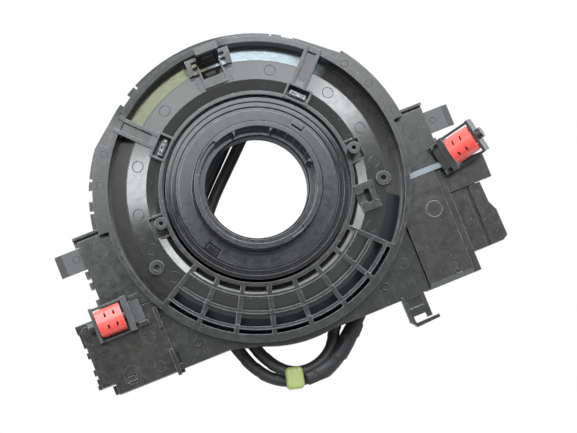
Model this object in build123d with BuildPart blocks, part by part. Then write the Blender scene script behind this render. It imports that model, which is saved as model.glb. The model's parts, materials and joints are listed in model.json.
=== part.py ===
from build123d import *
import math
import os

os.makedirs("parts", exist_ok=True)

# Steering clock spring with its column bracket. Millimetres, the bore axis is Z and the column side is up.
# z = 0 is the face of the hub on which the cancel cam sits. The part lies on its wheel side.
TABLE_Z = -37.0

# Clearances
RUN_GAP = 0.6
SEAT_GAP = 0.2
PIN_GAP = 0.07

# Cancel cam, the toothed sleeve round the steering shaft
BORE_R = 20.4
COLLAR_IN_R = BORE_R + 2.9
COLLAR_OUT_R = COLLAR_IN_R + 2.4
COLLAR_TOP_Z = 14.0
CAM_LIP_Z = 5.0
CAM_FACE_R = COLLAR_OUT_R + 6.6
CAM_FACE_T = 2.6
CAM_TAIL_Z = -6.0

# Hub tube and wheel side disc of the rotor
HUB_IN_R = CAM_FACE_R + RUN_GAP
HUB_WALL = 3.7
HUB_OUT_R = HUB_IN_R + HUB_WALL
HUB_TOP_Z = 1.9
HUB_GROOVE_Z = 0.6
HUB_SKIN = 2.0
WEB_T = 2.6
WEB_IN_R = COLLAR_OUT_R + 0.8
DISC_TOP_Z = -20.7
DISC_T = 2.3
DISC_Z = DISC_TOP_Z - DISC_T

# Dish of the housing, from its inner rim outwards
LIP_R = HUB_OUT_R + RUN_GAP
RIM_IN_R = LIP_R + 0.7
RIM_OUT_R = RIM_IN_R + 1.5
RIM_Z = 2.0
SHELL = 2.0
FOOT_Z = -2.6
CREST_R = RIM_OUT_R + 4.85
CREST_Z = 1.2
RING_R = CREST_R + 7.85
RING_Z = -1.0
TROUGH_R = RING_R + 6.5
TROUGH_Z = -9.8
WALL_IN_R = TROUGH_R + 0.8
WALL_OUT_R = WALL_IN_R + 2.2
WALL_FOOT_Z = TROUGH_Z - SHELL - 0.2

# Tray under the dish that holds the wound flat cable
CASE_TOP_Z = FOOT_Z - SHELL - SEAT_GAP
CASE_PLATE = 1.4
CASE_OUT_R = RING_R - 1.1
CASE_WALL = 1.4
CASE_FOOT_Z = DISC_TOP_Z + RUN_GAP
CHAMBER_R = CASE_OUT_R - CASE_WALL
CHAMBER_TOP_Z = CASE_TOP_Z - CASE_PLATE
DISC_R = CASE_OUT_R + 1.5

# Flat cable
RIBBON_T = 0.4
RIBBON_PITCH = 1.4
RIBBON_TURNS = 5
RIBBON_R = LIP_R + 2.4

# Ribbed sector of the dish
RIB_START = 210.0
RIB_STEP = 15.0
RIB_COUNT = 8
RIB_T = 1.9
RIB_ARCS = [(RIM_OUT_R + start, RIM_OUT_R + end) for start, end in ((2.8, 4.4), (9.6, 11.2), (15.9, 17.4))]

# Shoulders, flange and apron round the dish
SHOULDER_R = WALL_OUT_R + 4.0
SHOULDER_ANGLES = (5.0, 37.0)
SHOULDER_T = 2.0
SKIRT_T = 1.5
FLANGE_R = SHOULDER_R + 2.2
TOP_FLANGE_R = WALL_OUT_R + 4.3
FLANGE_Z = -15.0
FLANGE_T = 2.6
APRON_Z = -4.0
APRON_T = 2.0
APRON_FOOT_Z = -15.5
SIDE_X = SHOULDER_R + 9.0
SIDE_TOP_Y = 6.6
SIDE_LOW_Y = -25.6
POD_X = SIDE_X - 20.0
LOW_Y = -55.7
BOTTOM_Y = -WALL_OUT_R - 1.6
RIGHT_X = SIDE_X - 24.4
RIGHT_Y = -16.6

# Bridges over the trough, with the square windows for the tray's hooks
BRIDGE_ANGLE = 46.3
BRIDGE_HALF = 3.4
BRIDGE_RAIL = 1.5
WINDOW_ANGLE = 45.0
WINDOW_R = (RIM_OUT_R - 0.5, RIM_OUT_R + 4.4)
WINDOW_HALF = 4.5
FRAME_WALL = 0.8
FRAME_Z = 2.7

# Hollow locating pegs and screw bosses
PEG_X = RIM_OUT_R + 1.6
PEG_R = 2.4
PEG_TOP_Z = 11.0
PEG_HOLE_R = 0.9
BOSS_X = CREST_R + 4.55
BOSS_Y = -14.8
BOSS_R = 2.9
BOSS_HOLE_R = 1.2
BOSS_TOP_Z = 1.0

# Snap hook at the top of the dish
HOOK_X = 0.6
HOOK_HALF = 4.7
HOOK_TOP_Z = 16.0
CHEEK_HALF = 9.2
CHEEK_Y = WALL_IN_R - 2.0
CHEEK_Z = 5.5

# Side tabs and the bottom tab
TAB_REACH = 10.8
TAB_HALF = 4.5
TAB_Z = -6.0
TAB_T = 2.0
FOOT_TAB_X = (37.4, 47.0)
FOOT_TAB_Y = -73.0
FOOT_TAB_Z = -6.0

# Boxes for the two column switches
BOX_WALL = 1.8
BOX_FOOT_Z = -20.5
LEFT_TOP_Z = -3.0
LEFT_X = (-SIDE_X - 11.7, -POD_X - SEAT_GAP)
LEFT_Y = (LOW_Y - SEAT_GAP, SIDE_LOW_Y - 2 * SEAT_GAP)
LEFT_STEP = (LEFT_X[0] + 5.5, LEFT_Y[0] + 4.6)
LEFT_BACK_X = LEFT_X[1] - 6.0
RIGHT_TOP_Z = -1.5
RIGHT_PLATE_X = SIDE_X - 5.3
RIGHT_LOW_Y = BOTTOM_Y - SEAT_GAP
RIGHT_STEP_X = SIDE_X - 2.0
RIGHT_STEP_Z = -5.0
RIGHT_BOX_X = SIDE_X + 11.3
RIGHT_BOX_Z = -8.0
RIGHT_BOX_Y = (-55.6, -30.0)
RIGHT_BACK_X = SIDE_X - SEAT_GAP
SHELF_X = SIDE_X + 16.6
SHELF_Y = (RIGHT_BOX_Y[1] + SEAT_GAP, -18.8)
SHELF_Z = -6.0

# Terminal pins
PIN_W = 0.7

# Latch frames and lock clips
LATCH_LEAN = 25.0
LATCH_TURN = 11.0
LATCH_TRAVEL = 60.0
LEFT_PIVOT = (LEFT_X[1] - 6.8, LEFT_Y[1] - 1.6, LEFT_TOP_Z + 2.0)
RIGHT_PIVOT = (SIDE_X - 0.6, RIGHT_Y + 0.4, RIGHT_TOP_Z)
PIVOT_R = 1.0
FOOT_HALF = 4.6
EAR_T = 1.7
EAR_HALF = 1.9
RAIL_IN = (3.2, 5.6)
RAIL_OUT = (17.4, 18.6)
RAIL_HALF = 7.2
RAIL_Z = (-1.5, 6.2)
BAR_R = 1.6
BAR_Z = 4.4
BAR_END = 20.6
CLIP_R = 5.5
CLIP_SIDE_GAP = 0.3

# Towers and drive pins on the wheel side
TOWER_AT = (14.3, 38.0)
TOWER_ANGLE = 43.7
TOWER_LONG = 14.0
TOWER_WIDE = 16.0
TOWER_WALL = 1.8
CLAMP_T = 4.0
SOCKET_Y = -HUB_OUT_R - 3.4
SOCKET_SIZE = (26.0, 13.0)
SOCKET_WALL = 1.6
LINER_WALL = 1.2
DRIVE_X = HUB_OUT_R + 4.4
DRIVE_R = 3.2

# Leads
LEAD_R = 2.3
TIE_AT = (-12.4, -75.9)
PLUG_SIZE = (14.0, 9.6, 8.4)

RIM_BAND = (RIM_IN_R, RIM_OUT_R)
LEAD_Z = TABLE_Z + LEAD_R + 0.1


def at(radius, angle, z=None):
    """A point given by its distance from the bore axis and its angle in degrees."""
    x = radius * math.cos(math.radians(angle))
    y = radius * math.sin(math.radians(angle))
    return (x, y) if z is None else (x, y, z)


def spoke(angle, z):
    """A level plane whose x axis points outwards from the bore at an angle."""
    return Plane(origin=(0, 0, z), x_dir=at(1, angle, 0), z_dir=(0, 0, 1))


def rect(x0, x1, y0, y1, mode=Mode.ADD):
    """A rectangle given by its limits, in the sketch that is open."""
    with Locations(((x0 + x1) / 2, (y0 + y1) / 2)):
        Rectangle(x1 - x0, y1 - y0, mode=mode)


def ring_sector(inner, outer, start, end, mode=Mode.ADD):
    """A piece of a flat ring between two angles, in the sketch that is open."""
    with BuildLine() as edge:
        CenterArc((0, 0), inner, start, end - start)
        CenterArc((0, 0), outer, start, end - start)
        Line(at(inner, start), at(outer, start))
        Line(at(inner, end), at(outer, end))
    make_face(edge.edges(), mode=mode)


def slab(plane, limits, height, mode=Mode.ADD):
    """A rectangular feature on a plane, in the part that is open."""
    with BuildSketch(plane) as outline:
        rect(*limits)
    extrude(outline.sketch, amount=height, mode=mode)


def sector_slab(inner, outer, start, end, z, height, mode=Mode.ADD):
    """A ring-shaped feature between two angles, in the part that is open."""
    with BuildSketch(Plane.XY.offset(z)) as outline:
        ring_sector(inner, outer, start, end)
    extrude(outline.sketch, amount=height, mode=mode)


def post(place, z, radius, height, mode=Mode.ADD):
    """A round feature that stands on a level plane, in the part that is open."""
    with BuildSketch(Plane.XY.offset(z)) as outline:
        with Locations(place):
            Circle(radius)
    extrude(outline.sketch, amount=height, mode=mode)


def both(angle):
    """An angle and its mirror image across the plane x = 0."""
    return (angle, 180 - angle)


def save(part, name):
    """Labels a finished piece and writes it."""
    part.label = name
    export_step(part, f"parts/{name}.step")


# Housing of the fixed side: dish, ribs, shoulders, apron, tabs
DISH_TOP = [
    (RIM_IN_R, RIM_Z),
    (RIM_OUT_R, RIM_Z),
    (RIM_OUT_R, FOOT_Z),
    (CREST_R, CREST_Z),
    (RING_R, RING_Z),
    (TROUGH_R, TROUGH_Z),
    (WALL_IN_R, TROUGH_Z),
    (WALL_IN_R, RIM_Z),
    (WALL_OUT_R, RIM_Z),
]
DISH_UNDER = [
    (WALL_OUT_R, WALL_FOOT_Z),
    (TROUGH_R - 1.0, WALL_FOOT_Z),
    (RING_R - 0.7, RING_Z - SHELL - 0.2),
    (CREST_R, CREST_Z - SHELL - 0.2),
    (RIM_OUT_R + 0.5, FOOT_Z - SHELL),
    (RIM_IN_R, FOOT_Z - SHELL),
]

with BuildPart() as rib_grid:
    with BuildSketch(Plane.XY.offset(RIM_Z)):
        ring_sector(WALL_IN_R - 1.0, WALL_OUT_R, RIB_START, RIB_START + RIB_STEP * (RIB_COUNT - 1))
        for arc_in, arc_out in RIB_ARCS:
            ring_sector(arc_in, arc_out, RIB_START, RIB_START + RIB_STEP * (RIB_COUNT - 1))
        with PolarLocations(0, RIB_COUNT, RIB_START, RIB_STEP * (RIB_COUNT - 1), endpoint=True):
            with Locations(((RIM_OUT_R + WALL_IN_R) / 2, 0)):
                Rectangle(WALL_OUT_R - RIM_OUT_R, RIB_T)
    extrude(amount=WALL_FOOT_Z - RIM_Z)
    with BuildSketch(Plane.XZ):
        with BuildLine():
            Polyline([DISH_TOP[0], DISH_TOP[-1]] + DISH_UNDER, close=True)
        make_face()
    revolve(axis=Axis.Z, mode=Mode.INTERSECT)

with BuildSketch() as apron_outline:
    with BuildLine():
        Polyline(
            at(FLANGE_R - 5.0, 251.5),
            (-33.0, LOW_Y),
            (-POD_X, LOW_Y),
            (-POD_X, SIDE_LOW_Y),
            (-SIDE_X, SIDE_LOW_Y),
            (-SIDE_X, SIDE_TOP_Y),
            (SIDE_X, SIDE_TOP_Y),
            (SIDE_X, RIGHT_Y),
            (RIGHT_X + 7.2, RIGHT_Y),
            (RIGHT_X, -34.6),
            (RIGHT_X, BOTTOM_Y),
            (8.0, BOTTOM_Y),
        )
        ThreePointArc((8.0, BOTTOM_Y), (-6.0, BOTTOM_Y - 0.2), at(FLANGE_R - 5.0, 251.5))
    make_face()

with BuildPart() as stator_housing:
    with BuildSketch(Plane.XZ):
        with BuildLine():
            Polyline(DISH_TOP + DISH_UNDER, close=True)
        make_face()
    revolve(axis=Axis.Z)
    add(rib_grid.part)

    # Apron with the side blocks, and the skirt under its edge
    with BuildSketch(Plane.XY.offset(APRON_Z)) as apron_plate:
        add(apron_outline.sketch)
        Circle(WALL_OUT_R - 0.6, mode=Mode.SUBTRACT)
    extrude(amount=-APRON_T)
    with BuildSketch(Plane.XY.offset(APRON_FOOT_Z)) as apron_skirt:
        add(apron_outline.sketch)
        offset(amount=-SKIRT_T, kind=Kind.INTERSECTION, mode=Mode.SUBTRACT)
        Circle(WALL_OUT_R - 0.6, mode=Mode.SUBTRACT)
    extrude(amount=APRON_Z - APRON_FOOT_Z)

    # Shoulder plates, their skirts and the notched flange below
    first, last = SHOULDER_ANGLES
    for start, end in ((first, last), (180 - last, 180 - first)):
        sector_slab(WALL_OUT_R - 0.5, SHOULDER_R, start, end, RIM_Z - SHOULDER_T, SHOULDER_T)
        sector_slab(SHOULDER_R - SKIRT_T, SHOULDER_R, start, end, FLANGE_Z, RIM_Z - FLANGE_Z)
    with BuildSketch(Plane.XY.offset(FLANGE_Z)):
        ring_sector(WALL_OUT_R - 0.8, TOP_FLANGE_R, 51.0, 129.0)
        for start, end in ((first, last), (180 - last, 180 - first)):
            ring_sector(WALL_OUT_R - 0.8, FLANGE_R, start, end)
        with BuildLine():
            Polyline(
                at(WALL_OUT_R - 0.8, last - 1),
                at(FLANGE_R, last - 0.2),
                at(TOP_FLANGE_R, 51.2),
                at(WALL_OUT_R - 0.8, 51.5),
                close=True,
            )
        make_face()
        with BuildLine():
            Polyline(
                at(WALL_OUT_R - 0.8, 181 - last),
                at(FLANGE_R, 180.2 - last),
                at(TOP_FLANGE_R, 128.8),
                at(WALL_OUT_R - 0.8, 128.5),
                close=True,
            )
        make_face()
        for start, end in ((14.0, 15.0), (18.2, 22.2), (25.2, 26.2)):
            ring_sector(SHOULDER_R, FLANGE_R + 1, start, end, mode=Mode.SUBTRACT)
            ring_sector(SHOULDER_R, FLANGE_R + 1, 180 - end, 180 - start, mode=Mode.SUBTRACT)
        for start, end in ((54.8, 59.0), (62.6, 63.4)):
            ring_sector(WALL_OUT_R + 0.6, FLANGE_R + 1, start, end, mode=Mode.SUBTRACT)
            ring_sector(WALL_OUT_R + 0.6, FLANGE_R + 1, 180 - end, 180 - start, mode=Mode.SUBTRACT)
    extrude(amount=FLANGE_T)
    sector_slab(WALL_OUT_R - 0.5, WALL_OUT_R + 1.1, 51.0, 129.0, FLANGE_Z, RIM_Z - 2.5 - FLANGE_Z)

    # Bridges over the trough and the square window frames at their inner ends
    for angle in both(BRIDGE_ANGLE):
        slab(spoke(angle, -2.0), (CREST_R, WALL_IN_R + 1, -BRIDGE_HALF, BRIDGE_HALF), 2.4)
        for side in (-1, 1):
            rail = sorted((side * BRIDGE_HALF, side * (BRIDGE_HALF - BRIDGE_RAIL)))
            slab(spoke(angle, -2.0), (CREST_R, WALL_OUT_R, rail[0], rail[1]), FRAME_Z + 2.0)
    for angle in both(WINDOW_ANGLE):
        frame_limits = (RIM_IN_R + 0.1, WINDOW_R[1] + FRAME_WALL, -WINDOW_HALF - FRAME_WALL, WINDOW_HALF + FRAME_WALL)
        slab(spoke(angle, FOOT_Z - SHELL), frame_limits, FRAME_Z - FOOT_Z + SHELL)
        window_limits = (WINDOW_R[0], WINDOW_R[1], -WINDOW_HALF, WINDOW_HALF)
        slab(spoke(angle, CASE_TOP_Z - 1), window_limits, FRAME_Z - CASE_TOP_Z + 2, mode=Mode.SUBTRACT)

    # Wells with the hollow pegs, and the two screw bosses
    for side in (-1, 1):
        well = sorted((side * (RIM_IN_R + 0.2), side * (PEG_X + 4.8)))
        pocket = sorted((side * (RIM_IN_R + 1.0), side * (PEG_X + 4.0)))
        slab(Plane.XY.offset(FOOT_Z - SHELL), (well[0], well[1], -4.9, 4.9), 5.2)
        slab(Plane.XY.offset(FOOT_Z - 0.4), (pocket[0], pocket[1], -4.1, 4.1), 4.6, mode=Mode.SUBTRACT)
        post((side * PEG_X, 0), FOOT_Z - SHELL, PEG_R, PEG_TOP_Z - FOOT_Z + SHELL)
        post((side * PEG_X, 0), 0, PEG_HOLE_R, PEG_TOP_Z, mode=Mode.SUBTRACT)
        post((side * BOSS_X, BOSS_Y), FOOT_Z - SHELL + 0.2, BOSS_R, BOSS_TOP_Z - FOOT_Z + SHELL - 0.2)
        post((side * BOSS_X, BOSS_Y), BOSS_TOP_Z - 4.6, BOSS_HOLE_R, 4.6, mode=Mode.SUBTRACT)

    # Snap hook between its two cheeks, with the short guide ribs in front of it
    with BuildSketch(Plane.YZ.offset(HOOK_X - HOOK_HALF)):
        with BuildLine():
            Polyline(
                (WALL_IN_R - 6.0, -4.6),
                (WALL_IN_R - 3.4, -8.0),
                (WALL_IN_R - 0.5, 12.0),
                (WALL_IN_R - 0.3, HOOK_TOP_Z),
                (WALL_IN_R - 3.2, HOOK_TOP_Z),
                (WALL_IN_R - 3.5, 13.4),
                (WALL_IN_R - 2.4, 12.4),
                close=True,
            )
        make_face()
    extrude(amount=2 * HOOK_HALF)
    with BuildSketch(Plane.XZ.offset(-WALL_IN_R)):
        with Locations((HOOK_X + 0.2, 5.2)):
            Rectangle(4.4, 7.4)
    extrude(amount=8, mode=Mode.SUBTRACT)
    for side in (-1, 1):
        cheek = sorted((HOOK_X + side * CHEEK_HALF, HOOK_X + side * (CHEEK_HALF - 2.2)))
        with BuildSketch(Plane.YZ.offset(cheek[0])):
            with BuildLine():
                Polyline(
                    (WALL_IN_R - 8.8, -1.6),
                    (CHEEK_Y - 0.8, -8.4),
                    (CHEEK_Y, -8.4),
                    (CHEEK_Y, CHEEK_Z),
                    (CHEEK_Y - 2.4, CHEEK_Z),
                    close=True,
                )
            make_face()
        extrude(amount=2.2)
        guide = sorted((HOOK_X + side * 4.3, HOOK_X + side * 5.0))
        slab(Plane.XY.offset(-3.2), (guide[0], guide[1], CREST_R + 0.4, WALL_IN_R - 4.8), 5.0)
    slab(Plane.XY.offset(1.6), (HOOK_X - CHEEK_HALF, HOOK_X + CHEEK_HALF, CHEEK_Y - 1.4, CHEEK_Y), CHEEK_Z - 1.6)
    slab(Plane.XY.offset(-0.8), (HOOK_X - 4.3, HOOK_X + 4.3, CREST_R + 0.4, CREST_R + 1.2), 2.6)
    slab(Plane.XY.offset(-1.0), (HOOK_X - 7.4, HOOK_X + 7.4, CREST_R, CREST_R + 4.4), 2.1)

    # Catch block with its window on the lower right of the ring
    slab(Plane.XY.offset(FOOT_Z - SHELL + 0.2), (35.8, 43.8, -25.0, -13.6), 7.6)
    slab(Plane.XY.offset(CASE_TOP_Z - 1), (38.8, 41.2, -22.0, -16.4), 12, mode=Mode.SUBTRACT)
    slab(Plane.XY.offset(-0.2), (35.0, 38.9, -21.0, -17.4), 5, mode=Mode.SUBTRACT)
    slab(Plane.XY.offset(0.8), (42.4, 44.5, -22.0, -16.4), 5, mode=Mode.SUBTRACT)

    # Side tabs with bevelled ends, the low ledges above them and the teeth on the side walls
    for side in (-1, 1):
        with BuildSketch(Plane.XZ.offset(-TAB_HALF)):
            with BuildLine():
                Polyline(
                    (side * (SIDE_X - 1.0), TAB_Z),
                    (side * (SIDE_X + TAB_REACH - 2.9), TAB_Z),
                    (side * (SIDE_X + TAB_REACH), TAB_Z - 1.2),
                    (side * (SIDE_X + TAB_REACH), TAB_Z - TAB_T),
                    (side * (SIDE_X - 1.0), TAB_Z - TAB_T),
                    close=True,
                )
            make_face()
        extrude(amount=2 * TAB_HALF)
        ledge = sorted((side * (SHOULDER_R - 1.6), side * (SIDE_X + 1.7)))
        slab(Plane.XY.offset(FLANGE_Z), (ledge[0], ledge[1], SIDE_TOP_Y - 1.0, 9.4), 2.0)
        slab(Plane.XY.offset(FLANGE_Z), (ledge[0], ledge[1], 8.3, 9.4), 5.5)
    for low, high in ((-8.0, -5.3), (-12.6, -10.0), (-22.0, -17.3)):
        slab(Plane.XY.offset(FLANGE_Z), (-SIDE_X - 1.7, -SIDE_X + 0.5, low, high), 7.0)
    slab(Plane.XY.offset(FLANGE_Z), (SIDE_X - 0.5, SIDE_X + 1.4, -13.2, -6.7), 8.5)

    # Bottom tab with its window and the cranked bar across its end
    tab_in, tab_out = FOOT_TAB_X
    slab(Plane.XY.offset(FOOT_TAB_Z), (tab_in, tab_out, FOOT_TAB_Y, BOTTOM_Y + 1), APRON_T)
    slab(Plane.XY.offset(FOOT_TAB_Z - 1), (tab_in + 2.2, tab_out - 2.2, FOOT_TAB_Y - 1, FOOT_TAB_Y + 2.0), 4, mode=Mode.SUBTRACT)
    slab(Plane.XY.offset(FOOT_TAB_Z + 1.0), (tab_in + 1.8, tab_out - 1.6, FOOT_TAB_Y + 5.4, FOOT_TAB_Y + 9.2), 2, mode=Mode.SUBTRACT)
    slab(Plane.XY.offset(FOOT_TAB_Z), (tab_in, tab_in + 0.9, FOOT_TAB_Y, BOTTOM_Y + 1), APRON_T + 1.6)
    with BuildSketch(Plane.XY.offset(FOOT_TAB_Z - 2.5)):
        with BuildLine():
            Polyline(
                (tab_in, FOOT_TAB_Y + 1.0),
                (tab_in + 2.2, FOOT_TAB_Y - 2.4),
                (tab_out + 2.6, FOOT_TAB_Y - 1.8),
                (tab_out + 2.6, FOOT_TAB_Y - 0.4),
                (tab_in + 2.6, FOOT_TAB_Y - 0.7),
                (tab_in + 1.6, FOOT_TAB_Y + 1.0),
                close=True,
            )
        make_face()
    extrude(amount=4.5)

    # Opening in the skirt for the vehicle connector, slots beside the left box
    slab(Plane.XY.offset(APRON_FOOT_Z - 1), (31.0, 49.0, BOTTOM_Y - 1, BOTTOM_Y + 2), 10.3, mode=Mode.SUBTRACT)
    for low, high in ((-34.0, -29.0), (-53.4, -48.6)):
        slab(Plane.XY.offset(APRON_Z - 4), (-54.4, -53.2, low, high), 6, mode=Mode.SUBTRACT)

    # Ears for the upper ends of the two latches' pivot pins
    for pivot, turn in ((LEFT_PIVOT, 0), (RIGHT_PIVOT, LATCH_TURN)):
        ear_plane = Plane(origin=pivot, x_dir=at(1, turn, 0), z_dir=(0, 0, 1))
        with BuildSketch(ear_plane.offset(APRON_Z - 0.5 - pivot[2])):
            rect(-EAR_HALF, EAR_HALF, FOOT_HALF + SEAT_GAP, FOOT_HALF + SEAT_GAP + EAR_T)
        extrude(amount=pivot[2] + EAR_HALF - APRON_Z + 0.5)
        with BuildSketch(Plane(origin=pivot, x_dir=at(1, turn, 0), z_dir=at(1, turn - 90, 0))):
            Circle(PIVOT_R + PIN_GAP)
        extrude(amount=-12, mode=Mode.SUBTRACT)
save(stator_housing.part, "stator_housing")


# Tray for the flat cable, with two hooks that stand in the housing's windows
with BuildPart() as cable_case:
    with BuildSketch(Plane.XZ):
        with BuildLine():
            Polyline(
                (LIP_R, CASE_TOP_Z),
                (CASE_OUT_R, CASE_TOP_Z),
                (CASE_OUT_R, CASE_FOOT_Z),
                (CHAMBER_R, CASE_FOOT_Z),
                (CHAMBER_R, CHAMBER_TOP_Z),
                (LIP_R, CHAMBER_TOP_Z),
                close=True,
            )
        make_face()
    revolve(axis=Axis.Z)
    for angle in both(WINDOW_ANGLE):
        with BuildSketch(Plane(origin=at(0.001, angle, 0), x_dir=at(1, angle, 0), z_dir=at(1, angle - 90, 0)).offset(-3.4)):
            with BuildLine():
                Polyline(
                    (WINDOW_R[0] + 0.9, CASE_TOP_Z - 0.5),
                    (WINDOW_R[0] + 0.9, 0.4),
                    (WINDOW_R[0] + 1.6, 1.8),
                    (WINDOW_R[0] + 3.4, 0.6),
                    (WINDOW_R[0] + 3.4, -0.4),
                    (WINDOW_R[0] + 2.7, -0.6),
                    (WINDOW_R[0] + 2.7, CASE_TOP_Z - 0.5),
                    close=True,
                )
            make_face()
        extrude(amount=6.8)
save(cable_case.part, "cable_case")


# Flat cable, wound in half circles whose centres change sides, so that each turn is one pitch wider
with BuildPart() as ribbon_cable:
    with BuildSketch(Plane.XY.offset(DISC_TOP_Z + 0.4)):
        with BuildLine() as strip:
            for half_turn in range(2 * RIBBON_TURNS):
                radius = RIBBON_R + half_turn * RIBBON_PITCH / 2
                centre = (0, 0) if half_turn % 2 == 0 else (RIBBON_PITCH / 2, 0)
                side_start = 0 if half_turn % 2 == 0 else 180
                CenterArc(centre, radius - RIBBON_T / 2, side_start, 180)
                CenterArc(centre, radius + RIBBON_T / 2, side_start, 180)
            strip_end = RIBBON_R + RIBBON_TURNS * RIBBON_PITCH
            Line((RIBBON_R - RIBBON_T / 2, 0), (RIBBON_R + RIBBON_T / 2, 0))
            Line((strip_end - RIBBON_T / 2, 0), (strip_end + RIBBON_T / 2, 0))
        make_face()
    extrude(amount=CHAMBER_TOP_Z - DISC_TOP_Z - 1.2)
save(ribbon_cable.part, "ribbon_cable")

with BuildPart() as stator_lead_block:
    sector_slab(strip_end + 0.6, CHAMBER_R - 0.1, -9, 9, CASE_FOOT_Z + 0.4, 10.0)
    sector_slab(strip_end + 0.6, CHAMBER_R - 0.1, -5, 5, CASE_FOOT_Z + 0.4, CHAMBER_TOP_Z - CASE_FOOT_Z - 0.5)
save(stator_lead_block.part, "stator_lead_block")


# Left box for a column switch, open to the left
with BuildPart() as left_switch_case:
    with BuildSketch(Plane.XY.offset(BOX_FOOT_Z)):
        with BuildLine():
            Polyline(
                (LEFT_X[0], LEFT_Y[1]),
                (LEFT_X[0], LEFT_STEP[1]),
                (LEFT_STEP[0], LEFT_STEP[1]),
                (LEFT_STEP[0], LEFT_Y[0]),
                (LEFT_X[1], LEFT_Y[0]),
                (LEFT_X[1], LEFT_Y[1]),
                close=True,
            )
        make_face()
    extrude(amount=LEFT_TOP_Z - BOX_FOOT_Z)
    top_corner = left_switch_case.edges().filter_by(Axis.Z).group_by(Axis.X)[0].sort_by(Axis.Y)[-1]
    fillet(top_corner, radius=2.0)
    inside_z = BOX_FOOT_Z + BOX_WALL
    inside_h = LEFT_TOP_Z - BOX_FOOT_Z - 2 * BOX_WALL
    slab(Plane.XY.offset(inside_z), (LEFT_X[0] - 1, LEFT_BACK_X, LEFT_STEP[1] + BOX_WALL, LEFT_Y[1] - BOX_WALL), inside_h, mode=Mode.SUBTRACT)
    slab(
        Plane.XY.offset(BOX_FOOT_Z - 1),
        (LEFT_BACK_X + BOX_WALL, LEFT_X[1] - BOX_WALL, LEFT_Y[0] + BOX_WALL, LEFT_Y[1] - BOX_WALL),
        inside_h + BOX_WALL + 1,
        mode=Mode.SUBTRACT,
    )
    # Mouth collar in short lengths, and the rounded lip along the upper edge
    for low, high in ((-33.2, -25.2), (-37.8, -35.2), (-45.2, -42.6), (-51.3, -46.6)):
        slab(Plane.XY.offset(BOX_FOOT_Z + 1), (LEFT_X[0] - 1.6, LEFT_X[0] + 0.8, low, high), 12.5)
        slab(Plane.XY.offset(inside_z), (LEFT_X[0] - 2, LEFT_X[0] + 1, max(low, LEFT_STEP[1] + BOX_WALL), min(high, LEFT_Y[1] - BOX_WALL)), 13, mode=Mode.SUBTRACT)
    slab(Plane.XY.offset(BOX_FOOT_Z + 1), (LEFT_X[0] - 1.6, -79.5, LEFT_Y[1] - 0.4, -24.3), 12.5)
    slab(Plane.XY.offset(BOX_FOOT_Z + 1), (LEFT_STEP[0] - 1.6, LEFT_STEP[0] + 0.6, LEFT_Y[0] + 0.4, LEFT_STEP[1] - 0.6), 12.5)
    # Clear of the dish
    post((0, 0), BOX_FOOT_Z - 1, WALL_OUT_R + SEAT_GAP, 24, mode=Mode.SUBTRACT)
    # Upright bars beside the apron, the small window and the ears for the latch
    for low, high in ((-37.4, -29.0), (-57.6, -46.6)):
        slab(Plane.XY.offset(LEFT_TOP_Z - 2), (LEFT_X[1] - 1.6, LEFT_X[1], low, high), 5.6)
    slab(Plane.XY.offset(LEFT_TOP_Z - 1.2), (-76.6, -71.9, -52.6, -50.2), 2, mode=Mode.SUBTRACT)
    slab(Plane.XY.offset(LEFT_TOP_Z - 1.3), (-76.0, -72.5, -52.0, -50.8), 1.0)
    ear_x, ear_y = LEFT_PIVOT[0], LEFT_PIVOT[1] - FOOT_HALF - SEAT_GAP
    ear_limits = (ear_x - EAR_HALF, ear_x + EAR_HALF, ear_y - EAR_T, ear_y)
    slab(Plane.XY.offset(LEFT_TOP_Z - 0.5), ear_limits, LEFT_PIVOT[2] + EAR_HALF - LEFT_TOP_Z + 0.5)
    with BuildSketch(Plane(origin=LEFT_PIVOT, x_dir=(1, 0, 0), z_dir=(0, -1, 0))):
        Circle(PIVOT_R + PIN_GAP)
    extrude(amount=12, mode=Mode.SUBTRACT)
save(left_switch_case.part, "left_switch_case")


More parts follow.
